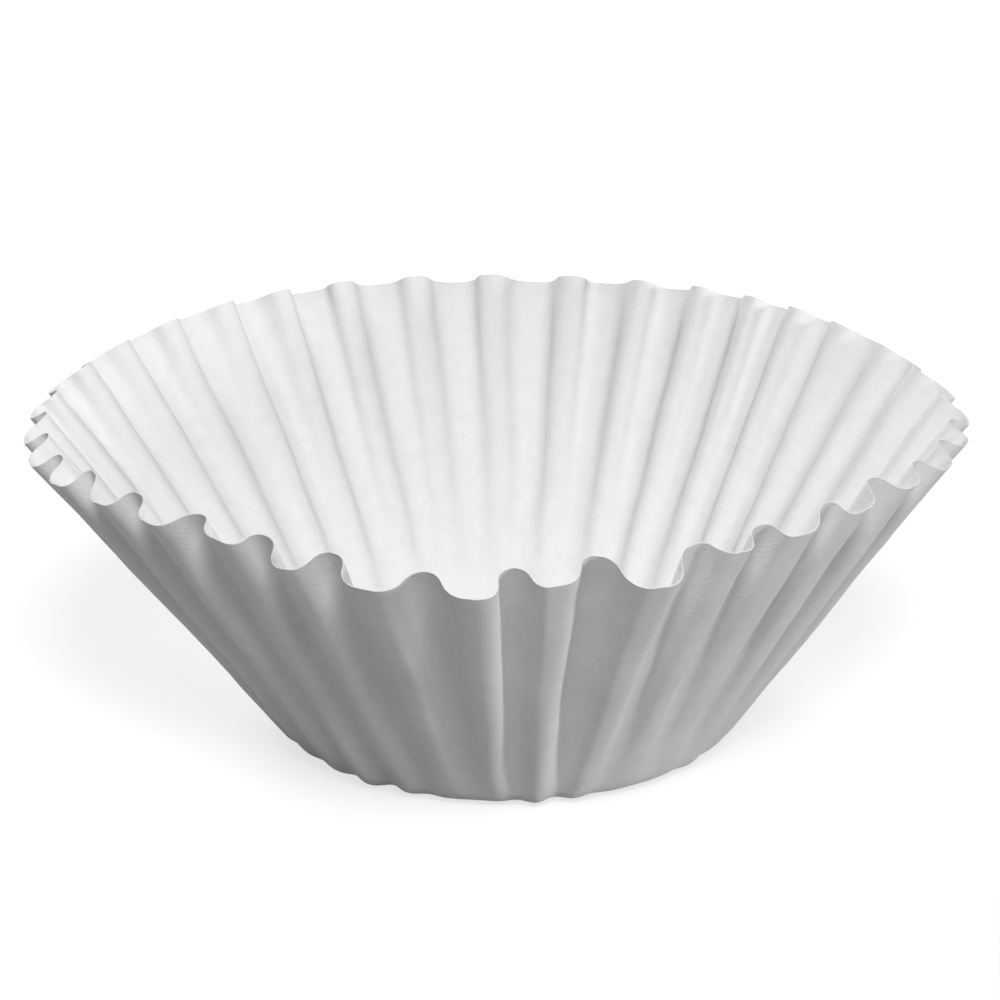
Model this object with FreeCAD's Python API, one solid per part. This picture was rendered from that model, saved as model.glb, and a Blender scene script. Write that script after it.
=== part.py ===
import math
import os

import FreeCAD
import Part

# Fluted basket filter for coffee, made of one round sheet of paper. It stands on its flat base at
# z = 0 with its middle on the origin; -Y is the front. Lengths in mm, angles in degrees.
doc = FreeCAD.newDocument("coffee_filter")

sizes = doc.addObject("Spreadsheet::Sheet", "sizes")
rows = [
    ("flat_radius", 125, "radius of the sheet before it is pressed"),
    ("paper", 0.15, "thickness of the sheet"),
    ("base_radius", 47.5, "where the planes of base and wall would meet"),
    ("bend_reach", 3.5, "how far the rounded edge reaches to either side of that corner"),
    ("bend_rows", 3, "facets that turn the sheet from base to wall"),
    ("roll_rows", 3, "facets in the roll of a crest or trough to either side"),
    ("wall_angle", 57.5, "wall above the horizontal"),
    ("wall_swing", 1.85, "the wall lies flatter by this at the rim's corners, steeper between them"),
    ("rim_corners", 4, "corners of the slightly squared rim"),
    ("flute_count", 36, "flutes round the wall"),
    ("flute_depth", 5.2, "crest to trough at the rim, square to the wall"),
    ("crest_flat", 2.6, "flat width of an outward crest at the rim"),
    ("trough_flat", 0.6, "flat width of an inward trough at the rim"),
    ("crest_share", 0.6, "share of the pitch that a crest takes at the foot of the wall"),
    ("crest_round", 0.56, "share of the crest's radius in the sum of both radii"),
    ("first_crest", 7.2, "angle of the first crest from the front, to the right"),
    ("wide_drift", 1.9, "slow drift of the flutes round the wall"),
    ("mid_drift", 1.0, "middling drift of the flutes round the wall"),
    ("short_drift", 0.5, "quick drift of the flutes round the wall"),
    ("depth_drift", 0.08, "share by which the depth of the flutes varies"),
]
for line, (name, number, note) in enumerate(rows, start=1):
    sizes.set("A%d" % line, name)
    sizes.set("B%d" % line, str(number))
    sizes.set("C%d" % line, note)
    sizes.setAlias("B%d" % line, name)
doc.recompute()

value = {name: float(getattr(sizes, name)) for name, _, _ in rows}
flatRadius = value["flat_radius"]
paper = value["paper"]
baseRadius = value["base_radius"]
bendReach = value["bend_reach"]
bendRows = round(value["bend_rows"])
rollRows = round(value["roll_rows"])
wallAngle = math.radians(value["wall_angle"])
wallSwing = math.radians(value["wall_swing"])
rimCorners = round(value["rim_corners"])
fluteCount = round(value["flute_count"])
fluteDepth = value["flute_depth"]
crestFlat = value["crest_flat"]
troughFlat = value["trough_flat"]
crestShare = value["crest_share"]
crestRound = value["crest_round"]
firstCrest = math.radians(value["first_crest"])
wideDrift = math.radians(value["wide_drift"])
midDrift = math.radians(value["mid_drift"])
shortDrift = math.radians(value["short_drift"])
depthDrift = value["depth_drift"]

# The sheet doesn't stretch: the wall is as long as what the base and the bend leave of the radius.
bendRadius = bendReach / math.tan(wallAngle / 2)
footRadius = baseRadius - bendReach
wallLength = flatRadius - footRadius - bendRadius * wallAngle
fluteSwing = math.asin(fluteDepth / 2 / wallLength)
UP = FreeCAD.Vector(0, 0, 1)


def outwards(heading):
    return FreeCAD.Vector(math.sin(heading), -math.cos(heading), 0)


def sideways(heading):
    return FreeCAD.Vector(math.cos(heading), math.sin(heading), 0)


def headingAt(turn):
    drift = wideDrift * math.sin(2 * turn - 0.26) + midDrift * math.sin(3 * turn + 2.86)
    return firstCrest + turn + drift + shortDrift * math.sin(5 * turn - 2.5)


# Round the foot of the wall the folds of the flutes start from these headings: a crest stands
# between an even one and the next, a trough between an odd one and the next.
pitch = 2 * math.pi / fluteCount
foldHeadings = []
for flute in range(fluteCount):
    foldHeadings.append(headingAt(pitch * (flute - crestShare / 2)))
    foldHeadings.append(headingAt(pitch * (flute + crestShare / 2)))
foldHeadings.append(foldHeadings[0] + 2 * math.pi)


# One crest or trough of a skin: where its flat strip ends at the rim, left and right, and the strip's
# outward normal. foot is the radius and height of the ring that the wall stands on.
def strip(number, foot):
    left, right = foldHeadings[number], foldHeadings[number + 1]
    middle, half = (left + right) / 2, (right - left) / 2
    crest = number % 2 == 0
    swing = fluteSwing * (1 + depthDrift * (math.sin(4 * middle + 1.0) + math.sin(9 * middle)))
    angle = wallAngle - wallSwing * math.cos(rimCorners * middle) + (-swing if crest else swing)
    halfFlat = (crestFlat if crest else troughFlat) / 2
    radius, height = foot
    spread = radius * math.sin(half) - halfFlat
    length = math.sqrt(wallLength**2 - spread**2)
    end = outwards(middle) * (radius * math.cos(half) + length * math.cos(angle))
    end += UP * (height + length * math.sin(angle))
    aside = sideways(middle) * halfFlat
    normal = outwards(middle) * math.sin(angle) - UP * math.cos(angle)
    return end - aside, end + aside, normal


# Two cones with one tip roll the sheet from a crest over to a trough. crestCone and troughCone are
# their half angles, and what is returned is how far the cones are from touching.
def coneAxes(toCrest, toTrough, crestNormal, troughNormal, crestCone, troughCone):
    crestAxis = toCrest * math.cos(crestCone) - crestNormal * math.sin(crestCone)
    troughAxis = toTrough * math.cos(troughCone) + troughNormal * math.sin(troughCone)
    return crestAxis, troughAxis, crestAxis.getAngle(troughAxis) - crestCone - troughCone


def solve(gap, low, high):
    for _ in range(80):
        middle = (low + high) / 2
        if gap(middle) > 0:
            low = middle
        else:
            high = middle
    return (low + high) / 2


# The points of one flank at the rim, from the crest's end to the trough's, and the radii of its two
# rolls in the middle of the paper.
def flank(tip, crestEnd, troughEnd, crestNormal, troughNormal, outward, middleRadii):
    toCrest, toTrough = (crestEnd - tip) / wallLength, (troughEnd - tip) / wallLength
    directions = (toCrest, toTrough, crestNormal, troughNormal)
    if middleRadii is None:
        across = (crestEnd - troughEnd).Length

        def gapOfSum(total):
            crestCone = math.asin(crestRound * total / wallLength)
            troughCone = math.asin((1 - crestRound) * total / wallLength)
            return coneAxes(*directions, crestCone, troughCone)[2]

        total = solve(gapOfSum, 0.1 * across, 3 * across)
        middleRadii = crestRound * total, (1 - crestRound) * total
    crestCone = math.asin((middleRadii[0] + outward) / wallLength)
    guess = math.asin((middleRadii[1] - outward) / wallLength)
    troughCone = solve(lambda cone: coneAxes(*directions, crestCone, cone)[2], 0.5 * guess, 1.5 * guess)
    crestAxis, troughAxis, _ = coneAxes(*directions, crestCone, troughCone)
    touch = crestAxis * math.sin(troughCone) + troughAxis * math.sin(crestCone)
    touch = touch / touch.Length
    points = [crestEnd]
    for axis, start, end in ((crestAxis, toCrest, touch), (troughAxis, touch, toTrough)):
        first, last = start - axis * start.dot(axis), end - axis * end.dot(axis)
        turn = math.degrees(first.getAngle(last))
        if first.cross(last).dot(axis) < 0:
            turn = -turn
        for row in range(1, rollRows + 1):
            rolled = FreeCAD.Rotation(axis, turn * row / rollRows).multVec(start)
            points.append(tip + rolled * wallLength)
    points[-1] = troughEnd
    return points, middleRadii


def facet(*points):
    return Part.Face(Part.makePolygon(list(points) + [points[0]]))


# One skin of the sheet, outward from the middle of the paper: its faces, its rim as a ring of points
# and the radii of the rolls in its flanks.
def skin(outward, radiiOfFlanks):
    rings = [(footRadius, paper / 2 - outward)]
    for row in range(1, bendRows + 1):
        turned = wallAngle * row / bendRows
        radius = footRadius + (bendRadius + outward) * math.sin(turned)
        rings.append((radius, paper / 2 + bendRadius - (bendRadius + outward) * math.cos(turned)))
    corners = [[outwards(h) * radius + UP * z for h in foldHeadings[:-1]] for radius, z in rings]
    count = len(foldHeadings) - 1

    faces, rim, radii = [facet(*corners[0])], [], []
    for lower, upper in zip(corners, corners[1:]):
        for here in range(count):
            after = (here + 1) % count
            faces.append(facet(lower[here], lower[after], upper[after], upper[here]))
    strips = [strip(number, rings[-1]) for number in range(count)]
    tips = corners[-1]
    for here in range(count):
        after = (here + 1) % count
        left, right, normal = strips[here]
        following = strips[after]
        faces.append(facet(tips[here], tips[after], right, left))
        known = radiiOfFlanks[here] if radiiOfFlanks else None
        if here % 2 == 0:
            ends = (right, following[0], normal, following[2])
        else:
            ends = (following[0], right, following[2], normal)
        points, found = flank(tips[after], *ends, outward, known)
        if here % 2:
            points.reverse()
        faces += [facet(tips[after], a, b) for a, b in zip(points, points[1:])]
        rim += [left] + points[:-1]
        radii.append(found)
    return faces, rim, radii


def filterSheet():
    middleRadii = skin(0, None)[2]
    outerFaces, outerRim, _ = skin(paper / 2, middleRadii)
    innerFaces, innerRim, _ = skin(-paper / 2, middleRadii)
    rimFaces = []
    for here in range(len(outerRim)):
        after = (here + 1) % len(outerRim)
        rimFaces.append(facet(outerRim[here], outerRim[after], innerRim[after]))
        rimFaces.append(facet(outerRim[here], innerRim[after], innerRim[here]))
    shell = Part.Shell(outerFaces + innerFaces + rimFaces)
    shell.sewShape()
    solid = Part.Solid(shell)
    if solid.Volume < 0:
        solid.reverse()
    return solid


sheet = doc.addObject("Part::Feature", "filter_paper")
sheet.Label = "filter_paper"
sheet.Shape = filterSheet()
sheet.Placement = FreeCAD.Placement()
doc.recompute()

for item in doc.Objects:
    bad = [state for state in item.State if state in ("Invalid", "Error")]
    if bad:
        raise RuntimeError("%s is %s" % (item.Label, bad))
    if hasattr(item, "Shape") and (item.Shape.isNull() or not item.Shape.isValid()):
        raise RuntimeError("%s has no valid shape" % item.Label)

os.makedirs("parts", exist_ok=True)
sheet.Shape.exportStep("parts/filter_paper.step")

box = sheet.Shape.BoundBox
print("solids", len(sheet.Shape.Solids), "faces", len(sheet.Shape.Faces))
print("volume mm3", round(sheet.Shape.Volume, 1))
print("box", [round(v, 2) for v in (box.XMin, box.XMax, box.YMin, box.YMax, box.ZMin, box.ZMax)])
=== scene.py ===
import math

import bpy
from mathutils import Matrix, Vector, noise


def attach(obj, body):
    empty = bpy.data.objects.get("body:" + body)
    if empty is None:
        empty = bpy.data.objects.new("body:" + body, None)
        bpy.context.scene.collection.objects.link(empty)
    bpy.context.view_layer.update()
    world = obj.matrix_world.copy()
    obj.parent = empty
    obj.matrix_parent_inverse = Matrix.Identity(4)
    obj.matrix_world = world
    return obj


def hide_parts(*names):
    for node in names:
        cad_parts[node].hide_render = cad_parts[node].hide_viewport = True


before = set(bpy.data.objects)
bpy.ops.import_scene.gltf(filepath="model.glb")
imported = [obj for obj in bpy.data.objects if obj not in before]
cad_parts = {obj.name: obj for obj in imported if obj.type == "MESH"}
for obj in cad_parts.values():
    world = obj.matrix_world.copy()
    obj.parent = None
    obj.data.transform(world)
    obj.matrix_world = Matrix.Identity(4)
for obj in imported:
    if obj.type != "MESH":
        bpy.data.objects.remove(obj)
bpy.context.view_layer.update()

mm = 0.001


def linearColour(text):
    channels = [int(text[i:i + 2], 16) / 255 for i in (0, 2, 4)]
    return tuple(c / 12.92 if c <= 0.04045 else ((c + 0.055) / 1.055) ** 2.4 for c in channels) + (1.0,)


def smooth(value):
    value = min(1.0, max(0.0, value))
    return value * value * (3 - 2 * value)


# The filter: one round sheet of paper, pressed into a flat base and a fluted wall. It stands at the
# origin, and turns are counted from the front (-Y) to the right.
sheetData = {
    "flatRadius": 125 * mm,
    "paper": 0.16 * mm,
    "baseRadius": 47.5 * mm,  # where the planes of base and wall would meet
    "bendReach": 3.5 * mm,
    "wallAngle": math.radians(57.5),
    "wallSwing": math.radians(1.85),  # squares the rim a little
    "rimCorners": 4,
    "leftFlare": math.radians(1.2),
    "baseShift": Vector((1.3 * mm, -0.8 * mm, 0)),
    "fluteCount": 36,
    "fluteDepth": 5.2 * mm,  # crest to trough at the rim
    "fluteRise": 0.8,  # under 1 the flutes are deep low down already
    "crestFlat": 2.6 * mm,
    "troughFlat": 0.6 * mm,
    "crestShare": 0.6,  # of the pitch, at the foot of the wall
    "crestRound": 0.56,  # the crest's radius in the sum of both radii
    "firstCrest": math.radians(7.2),
    "drifts": [(math.radians(1.9), 2, -0.26), (math.radians(1.0), 3, 2.86), (math.radians(0.5), 5, -2.5)],
    "depthDrift": 0.08,
    "lean": 0.6 * mm,
    "wander": 0.9 * mm,
    "pucker": 0.4 * mm,  # of the flutes where they start, at the edge of the base
    "puckerFrom": 0.82,  # share of the base's radius
    "rimCurl": 0.4 * mm,
    "curlFrom": 0.86,  # share of the wall
    "unevenFlutes": [  # degrees round from the front, mm that the rim stands out, mm that it moves right
        (-35.0, -1.8, 0.0),
        (-19.1, 0.0, -2.4),
        (-13.1, 1.5, -1.6),
        (8.4, -2.4, -1.2),
        (18.9, 1.4, 0.6),
        (24.2, -2.0, 2.0),
        (51.0, -1.2, 0.0),
    ],
    "unevenReach": math.radians(4.4),
    "unevenRim": 1.5 * mm,
    "wave": 0.45 * mm,
    "waveSize": 16 * mm,
    "dent": 0.08 * mm,
    "dentSize": 5 * mm,
    "stepsPerHalfFlute": 12,
    "baseRows": 5,
    "bendRows": 8,
    "wallRows": 32,
    "mapSize": 260 * mm,  # the UV map shows the sheet laid flat
    "smoothUnder": math.radians(60),  # keeps the cut edge of the paper crisp
}
wallAngle = sheetData["wallAngle"]
bendRadius = sheetData["bendReach"] / math.tan(wallAngle / 2)
footRadius = sheetData["baseRadius"] - sheetData["bendReach"]
wallLength = sheetData["flatRadius"] - footRadius - bendRadius * wallAngle
wallFoot = footRadius + bendRadius * math.sin(wallAngle)
wallFootHeight = bendRadius * (1 - math.cos(wallAngle))
pitch = 2 * math.pi / sheetData["fluteCount"]


def headingAt(turn):
    drift = sum(swing * math.sin(times * turn + phase) for swing, times, phase in sheetData["drifts"])
    return sheetData["firstCrest"] + turn + drift


# The middle of every crest (even) and trough (odd), and how far round it is to the next one.
folds = []
for number in range(2 * sheetData["fluteCount"]):
    halfShare = (sheetData["crestShare"] if number % 2 == 0 else 1 - sheetData["crestShare"]) / 2
    centre = pitch * number / 2
    left, right = headingAt(centre - pitch * halfShare), headingAt(centre + pitch * halfShare)
    folds.append({"heading": (left + right) / 2})
for number, fold in enumerate(folds):
    following = folds[(number + 1) % len(folds)]
    fold["gap"] = (following["heading"] - fold["heading"]) % (2 * math.pi)


# Where a point of the sheet lies across its half flute, share of the way from one middle to the next:
# the distance along the ring and the height off the wall, square to it. up is the share of the wall.
def acrossFlute(number, share, up, radius):
    crestFirst = number % 2 == 0
    fold = folds[number]
    if not crestFirst:
        share = 1 - share
    span = fold["gap"] * radius
    middle = fold["heading"] + fold["gap"] / 2
    varied = 1 + sheetData["depthDrift"] * (math.sin(4 * middle + 1.0) + math.sin(9 * middle))
    half = up ** sheetData["fluteRise"] * sheetData["fluteDepth"] / 2 * varied
    crestStrip, troughStrip = up * sheetData["crestFlat"] / 2, up * sheetData["troughFlat"] / 2
    wide = max(span - crestStrip - troughStrip, 1e-7)
    if half < 1e-7:
        along, off = share * span, 0.0
    else:
        radii = (wide * wide + 4 * half * half) / (4 * half)
        crestRoll, troughRoll = radii * sheetData["crestRound"], radii * (1 - sheetData["crestRound"])
        turn = 2 * math.atan(2 * half / wide)
        total = crestStrip + turn * radii + troughStrip
        here = share * total
        if here < crestStrip:
            along, off = here, half
        elif here < crestStrip + turn * crestRoll:
            turned = (here - crestStrip) / crestRoll
            along = crestStrip + crestRoll * math.sin(turned)
            off = half - crestRoll * (1 - math.cos(turned))
        elif here < total - troughStrip:
            turned = (total - troughStrip - here) / troughRoll
            along = span - troughStrip - troughRoll * math.sin(turned)
            off = troughRoll * (1 - math.cos(turned)) - half
        else:
            along, off = span - (total - here), -half
    if not crestFirst:
        along = span - along
    return along, off


# Soft noise that closes up round the ring. level picks another pattern.
def noiseRound(around, closeness, level):
    return noise.noise(Vector((math.sin(around) * closeness, math.cos(around) * closeness, level)))


# How far the rim stands out and moves to the right: a few flutes, and a little all round.
def unevenAt(around):
    raised = sheetData["unevenRim"] * noiseRound(around, 5, 31.0)
    aside = 0.0
    for turn, outwards, sideways in sheetData["unevenFlutes"]:
        between = (around - math.radians(turn) + math.pi) % (2 * math.pi) - math.pi
        near = math.exp(-(between / sheetData["unevenReach"]) ** 2)
        raised += outwards * mm * near
        aside += sideways * mm * near
    return raised, aside


# How far a point of the wall is moved along the ring, past the even flutes.
def strayAt(around, part, off):
    leaning = sheetData["lean"] * (math.sin(5 * around + 0.7) + 0.8 * math.sin(13 * around + 2.0))
    roaming = Vector((math.sin(around) * 4.5, -math.cos(around) * 4.5, part * 2.6 + 20))
    stray = leaning * part ** 2 * (off / (sheetData["fluteDepth"] / 2))
    stray += sheetData["wander"] * noise.noise(roaming) * smooth(part * 4) * (1 - 0.6 * part)
    return stray + unevenAt(around)[1] * part


# The place of a point of the sheet, and where it lies on the sheet laid flat. row is its zone (base,
# bend or wall) and the share of that zone that lies inside it.
def sheetPoint(number, share, row):
    zone, part = row
    fold = folds[number]
    around = fold["heading"] + fold["gap"] * share
    crestward = math.cos(math.pi * (share if number % 2 == 0 else 1 - share))
    pucker = sheetData["pucker"] * max(0.1, 0.7 + 1.6 * noiseRound(around, 3.1, 9.0)) * crestward
    heading = around
    if zone == "base":
        angle, height = 0.0, 0.0
        radius = material = footRadius * part
        lift = pucker * 0.3 * smooth((part - sheetData["puckerFrom"]) / (1 - sheetData["puckerFrom"]))
    elif zone == "bend":
        angle = wallAngle * part
        material = footRadius + bendRadius * angle
        radius = footRadius + bendRadius * math.sin(angle)
        height = bendRadius * (1 - math.cos(angle))
        lift = pucker * (0.3 + 0.7 * smooth(part))
    else:
        material = footRadius + bendRadius * wallAngle + wallLength * part
        squared = sheetData["wallSwing"] * math.cos(sheetData["rimCorners"] * around) * smooth(part * 4)
        angle = wallAngle - squared
        angle -= sheetData["leftFlare"] * smooth(-math.sin(around)) * smooth(part * 2)
        radius = wallFoot + wallLength * part * math.cos(angle)
        height = wallFootHeight + wallLength * part * math.sin(angle)
        along, off = acrossFlute(number, share, part, radius)
        heading = fold["heading"] + (along + strayAt(around, part, off)) / radius
        lift = off + pucker * (1 - part) + unevenAt(around)[0] * part ** 1.5
        rimmost = smooth((part - sheetData["curlFrom"]) / (1 - sheetData["curlFrom"]))
        lift += sheetData["rimCurl"] * rimmost * (0.5 + noiseRound(around, 9, 4.0))
    spot = Vector((radius * math.sin(heading), -radius * math.cos(heading), height))
    facing = math.sin(angle)
    normal = Vector((math.sin(heading) * facing, -math.cos(heading) * facing, -math.cos(angle)))
    grown = smooth((material - 0.5 * footRadius) / footRadius)
    lift += sheetData["wave"] * noise.noise(spot / sheetData["waveSize"]) * grown
    dented = noise.noise(spot / sheetData["dentSize"] + Vector((7, 3, 1)))
    lift += sheetData["dent"] * dented * (0.4 + 0.6 * grown)
    spot += sheetData["baseShift"] * (1 - (part if zone == "wall" else 0))
    return spot + normal * lift, (material * math.sin(around), -material * math.cos(around))


# A grid is rolled up: its columns go round the filter, its rows from the middle of the base to the rim.
def buildSheet():
    rows = [("base", i / sheetData["baseRows"]) for i in range(sheetData["baseRows"])]
    rows += [("bend", i / sheetData["bendRows"]) for i in range(sheetData["bendRows"])]
    rows += [("wall", i / sheetData["wallRows"]) for i in range(sheetData["wallRows"] + 1)]
    steps = sheetData["stepsPerHalfFlute"]
    columns = 2 * sheetData["fluteCount"] * steps

    bpy.ops.object.select_all(action="DESELECT")
    bpy.ops.mesh.primitive_grid_add(x_subdivisions=columns, y_subdivisions=len(rows) - 1, size=2)
    piece = bpy.context.object
    piece.name = "pleatedFilter"
    mesh = piece.data
    flat = {}
    for vertex in mesh.vertices:
        column = round((vertex.co.x + 1) / 2 * columns)
        row = round((vertex.co.y + 1) / 2 * (len(rows) - 1))
        number, step = divmod(column % columns, steps)
        vertex.co, flat[vertex.index] = sheetPoint(number, step / steps, rows[row])
    layer = mesh.uv_layers.active or mesh.uv_layers.new(name="UVMap")
    layer.name = "flatSheet"
    for loop in mesh.loops:
        x, y = flat[loop.vertex_index]
        layer.data[loop.index].uv = (0.5 + x / sheetData["mapSize"], 0.5 + y / sheetData["mapSize"])
    print("sheet: rolled up")

    bpy.ops.object.mode_set(mode="EDIT")
    bpy.ops.mesh.select_all(action="SELECT")
    bpy.ops.mesh.remove_doubles(threshold=1e-6)
    bpy.ops.mesh.normals_make_consistent(inside=False)
    bpy.ops.object.mode_set(mode="OBJECT")
    lowest = min(v.co.z for v in mesh.vertices)
    for vertex in mesh.vertices:
        vertex.co.z += sheetData["paper"] / 2 - lowest

    bpy.ops.object.modifier_add(type="SOLIDIFY")
    thick = piece.modifiers["Solidify"]
    thick.thickness = sheetData["paper"]
    thick.offset = 0
    thick.use_even_offset = True
    bpy.ops.object.modifier_apply(modifier=thick.name)
    bpy.ops.object.shade_smooth_by_angle(angle=sheetData["smoothUnder"])
    bpy.context.view_layer.update()
    print("sheet: thickened,", len(mesh.polygons), "faces")
    return piece


# Bleached filter paper: an uncoated, lightly creped web of wood fibre. It is matt and nearly white, with
# cloudy fibre, faint ripples across the sheet and a little light that comes through from behind.
paperData = {
    "colour": "F2F2F3",
    "shade": "EEEEEF",
    "cloudSize": 3.8 * mm,
    "cloudHeight": 0.15 * mm,
    "fibreSize": 1.1 * mm,  # real fibres are finer and wouldn't show
    "fibreHeight": 0.06 * mm,
    "crepeSpacing": 1.2 * mm,
    "crepeHeight": 0.08 * mm,
    "roughness": 0.88,
    "specular": 0.25,
    "sheen": 0.12,
    "sheenRoughness": 0.6,
    "throughShare": 0.07,
}


def addNode(tree, kind, at, **settings):
    node = tree.nodes.new(kind)
    node.location = at
    for name, setting in settings.items():
        if hasattr(node, name):
            setattr(node, name, setting)
        else:
            node.inputs[name.replace("_", " ")].default_value = setting
    return node


def paperMaterial():
    material = bpy.data.materials.new("bleachedFilterPaper")
    material.use_nodes = True
    tree = material.node_tree
    tree.nodes.clear()
    link = tree.links.new
    uv = addNode(tree, "ShaderNodeUVMap", (-1500, 0), uv_map="flatSheet")
    mapSize = sheetData["mapSize"]
    place = addNode(tree, "ShaderNodeMapping", (-1300, 0), Scale=(mapSize, mapSize, mapSize))  # now in metres
    link(uv.outputs["UV"], place.inputs["Vector"])

    cloud = addNode(tree, "ShaderNodeTexNoise", (-1050, 300), Detail=5.0, Roughness=0.6)
    cloud.inputs["Scale"].default_value = 1 / paperData["cloudSize"]
    fibreRun = addNode(tree, "ShaderNodeMapping", (-1250, -250), Scale=(3.0, 0.8, 1.0))
    fibre = addNode(tree, "ShaderNodeTexNoise", (-1050, -250), Detail=3.0, Roughness=0.7, Distortion=0.8)
    fibre.inputs["Scale"].default_value = 1 / paperData["fibreSize"]
    crepe = addNode(tree, "ShaderNodeTexWave", (-1050, -550), wave_type="BANDS", bands_direction="Y",
                    Distortion=9.0, Detail=2.0, Detail_Scale=1.6)
    crepe.inputs["Scale"].default_value = math.pi / 10 / paperData["crepeSpacing"]  # a band is pi / 10 wide
    for node in (cloud, fibreRun, crepe):
        link(place.outputs["Vector"], node.inputs["Vector"])
    link(fibreRun.outputs["Vector"], fibre.inputs["Vector"])

    tint = addNode(tree, "ShaderNodeMix", (-500, 300), data_type="RGBA")
    tint.inputs[6].default_value = linearColour(paperData["shade"])
    tint.inputs[7].default_value = linearColour(paperData["colour"])
    spread = addNode(tree, "ShaderNodeMapRange", (-750, 300), From_Min=0.3, From_Max=0.62)
    link(cloud.outputs["Fac"], spread.inputs["Value"])
    link(spread.outputs["Result"], tint.inputs["Factor"])

    fibreBump = addNode(tree, "ShaderNodeBump", (-500, -250), Strength=0.35)
    fibreBump.inputs["Distance"].default_value = paperData["fibreHeight"]
    crepeBump = addNode(tree, "ShaderNodeBump", (-300, -350), Strength=0.3)
    crepeBump.inputs["Distance"].default_value = paperData["crepeHeight"]
    cloudBump = addNode(tree, "ShaderNodeBump", (-100, -250), Strength=0.15)
    cloudBump.inputs["Distance"].default_value = paperData["cloudHeight"]
    link(fibre.outputs["Fac"], fibreBump.inputs["Height"])
    link(crepe.outputs["Fac"], crepeBump.inputs["Height"])
    link(cloud.outputs["Fac"], cloudBump.inputs["Height"])
    link(fibreBump.outputs["Normal"], crepeBump.inputs["Normal"])
    link(crepeBump.outputs["Normal"], cloudBump.inputs["Normal"])

    face = addNode(tree, "ShaderNodeBsdfPrincipled", (150, 200), Roughness=paperData["roughness"])
    face.inputs["Specular IOR Level"].default_value = paperData["specular"]
    face.inputs["Sheen Weight"].default_value = paperData["sheen"]
    face.inputs["Sheen Roughness"].default_value = paperData["sheenRoughness"]
    through = addNode(tree, "ShaderNodeBsdfTranslucent", (150, -250))
    blend = addNode(tree, "ShaderNodeMixShader", (450, 100), Fac=paperData["throughShare"])
    out = addNode(tree, "ShaderNodeOutputMaterial", (650, 100))
    link(tint.outputs[2], face.inputs["Base Color"])
    link(tint.outputs[2], through.inputs["Color"])
    link(cloudBump.outputs["Normal"], face.inputs["Normal"])
    link(cloudBump.outputs["Normal"], through.inputs["Normal"])
    link(face.outputs["BSDF"], blend.inputs[1])
    link(through.outputs["BSDF"], blend.inputs[2])
    link(blend.outputs["Shader"], out.inputs["Surface"])
    return material


# 1 for a ray from the camera, off a gloss or through a surface, and 0 for the light that falls on things.
def shownRay(tree, at):
    path = addNode(tree, "ShaderNodeLightPath", at)
    through = addNode(tree, "ShaderNodeMath", (at[0] + 200, at[1] - 100), operation="MAXIMUM")
    shown = addNode(tree, "ShaderNodeMath", (at[0] + 400, at[1]), operation="MAXIMUM")
    tree.links.new(path.outputs["Is Glossy Ray"], through.inputs[0])
    tree.links.new(path.outputs["Is Transmission Ray"], through.inputs[1])
    tree.links.new(path.outputs["Is Camera Ray"], shown.inputs[0])
    tree.links.new(through.outputs["Value"], shown.inputs[1])
    return shown.outputs["Value"]


# The floor is matt painted board and sends little light up. To the camera it glows white, less near the filter,
# where it keeps a faint shadow. Its grey leans to blue, which cools the underside of the wall.
floorData = {
    "colour": "9FA1A3",
    "size": 8,
    "glowNear": 0.72,
    "glowFar": 1.0,
    "near": 120 * mm,
    "far": 600 * mm,
}


def floorMaterial():
    material = bpy.data.materials.new("paleFloor")
    material.use_nodes = True
    tree = material.node_tree
    tree.nodes.clear()
    link = tree.links.new
    matte = addNode(tree, "ShaderNodeBsdfDiffuse", (0, 200))
    matte.inputs["Color"].default_value = linearColour(floorData["colour"])
    place = addNode(tree, "ShaderNodeTexCoord", (-800, -100))
    away = addNode(tree, "ShaderNodeVectorMath", (-600, -100), operation="LENGTH")
    glow = addNode(tree, "ShaderNodeMapRange", (-400, -100), interpolation_type="SMOOTHSTEP")
    glow.inputs["From Min"].default_value = floorData["near"]
    glow.inputs["From Max"].default_value = floorData["far"]
    glow.inputs["To Min"].default_value = floorData["glowNear"]
    glow.inputs["To Max"].default_value = floorData["glowFar"]
    seen = addNode(tree, "ShaderNodeEmission", (-200, -100))
    dark = addNode(tree, "ShaderNodeMixShader", (0, -100))
    total = addNode(tree, "ShaderNodeAddShader", (200, 0))
    out = addNode(tree, "ShaderNodeOutputMaterial", (400, 0))
    link(place.outputs["Object"], away.inputs[0])
    link(away.outputs["Value"], glow.inputs["Value"])
    link(glow.outputs["Result"], seen.inputs["Strength"])
    link(shownRay(tree, (-600, -350)), dark.inputs["Fac"])
    link(seen.outputs["Emission"], dark.inputs[2])
    link(matte.outputs["BSDF"], total.inputs[0])
    link(dark.outputs["Shader"], total.inputs[1])
    link(total.outputs["Shader"], out.inputs["Surface"])
    return material


def placeFloor():
    bpy.ops.object.select_all(action="DESELECT")
    bpy.ops.mesh.primitive_plane_add(size=floorData["size"])
    floor = bpy.context.object
    floor.name = "paleFloor"
    floor.data.materials.append(floorMaterial())


cameraData = {
    "lens": 106.8,
    "sensor": 36,
    "aimHeight": 30.0 * mm,
    "distance": 609.7 * mm,
    "elevation": math.radians(22.28),
    "raised": math.radians(1.33),  # looks over the aim, which brings the filter down in the frame
}


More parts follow.
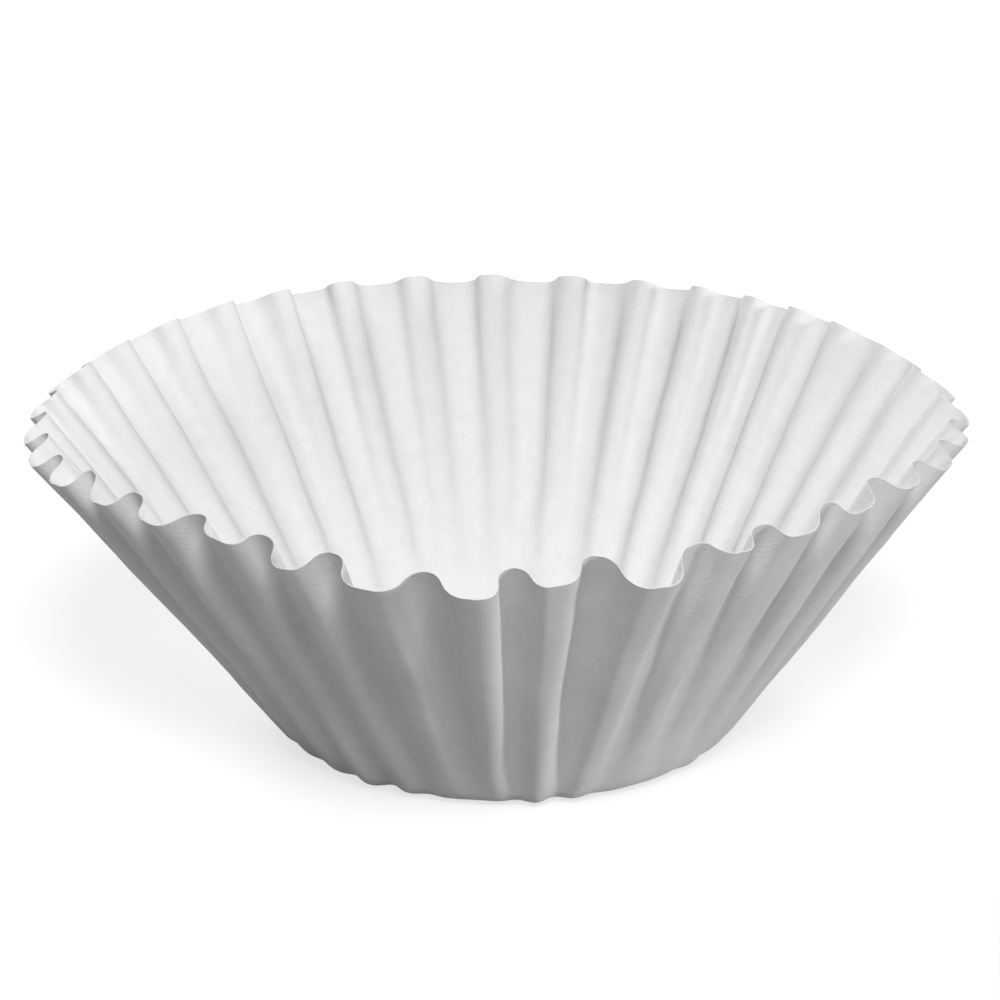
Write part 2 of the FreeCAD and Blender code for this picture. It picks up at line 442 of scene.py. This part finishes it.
def placeCamera():
    data = bpy.data.cameras.new("photoCamera")
    data.lens = cameraData["lens"]
    data.sensor_width = cameraData["sensor"]
    data.sensor_fit = "HORIZONTAL"
    camera = bpy.data.objects.new("photoCamera", data)
    bpy.context.collection.objects.link(camera)
    away, high = cameraData["distance"], cameraData["elevation"]
    camera.location = (0, -away * math.cos(high), cameraData["aimHeight"] + away * math.sin(high))
    camera.rotation_euler = (math.pi / 2 - high + cameraData["raised"], 0, 0)
    bpy.context.scene.camera = camera


# The key light fills the bowl, the side light grazes the flutes from the right, and the back light keeps
# the far side from going grey. Places and sizes are in metres.
lightData = [
    {"name": "keyLight", "at": (0.12, -1.05, 1.28), "size": 0.5, "watts": 21.3},
    {"name": "sideLight", "at": (1.45, -0.4, 0.13), "size": 0.22, "watts": 7.3},
    {"name": "backLight", "at": (-0.5, 1.4, 0.55), "size": 0.9, "watts": 20.0},
]
lightAim = Vector((0, 0, 0.04))
worldData = {"colour": "FFFFFF", "strength": 0.05, "shown": 1.0}


def placeLights():
    for item in lightData:
        bpy.ops.object.light_add(type="AREA", location=item["at"])
        lamp = bpy.context.object
        lamp.name = item["name"]
        lamp.data.size = item["size"]
        lamp.data.energy = item["watts"]
        toAim = lightAim - lamp.location
        lamp.rotation_euler = toAim.to_track_quat("-Z", "Y").to_euler()
    world = bpy.data.worlds.new("studio")
    world.use_nodes = True
    tree = world.node_tree
    sky = tree.nodes["Background"]
    sky.inputs["Color"].default_value = linearColour(worldData["colour"])
    bright = addNode(tree, "ShaderNodeMath", (-200, 0), operation="MULTIPLY_ADD")
    bright.inputs[1].default_value = worldData["shown"] - worldData["strength"]
    bright.inputs[2].default_value = worldData["strength"]
    tree.links.new(shownRay(tree, (-900, 0)), bright.inputs[0])
    tree.links.new(bright.outputs["Value"], sky.inputs["Strength"])
    bpy.context.scene.world = world


placeCamera()
placeLights()
placeFloor()
print("stage: camera, lights and floor placed")

filterPiece = buildSheet()
filterPiece.data.materials.append(paperMaterial())
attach(filterPiece, "root")
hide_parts("filter_paper")
print("filter: built and dressed")

bpy.context.scene.view_settings.view_transform = "Standard"
bpy.context.view_layer.update()
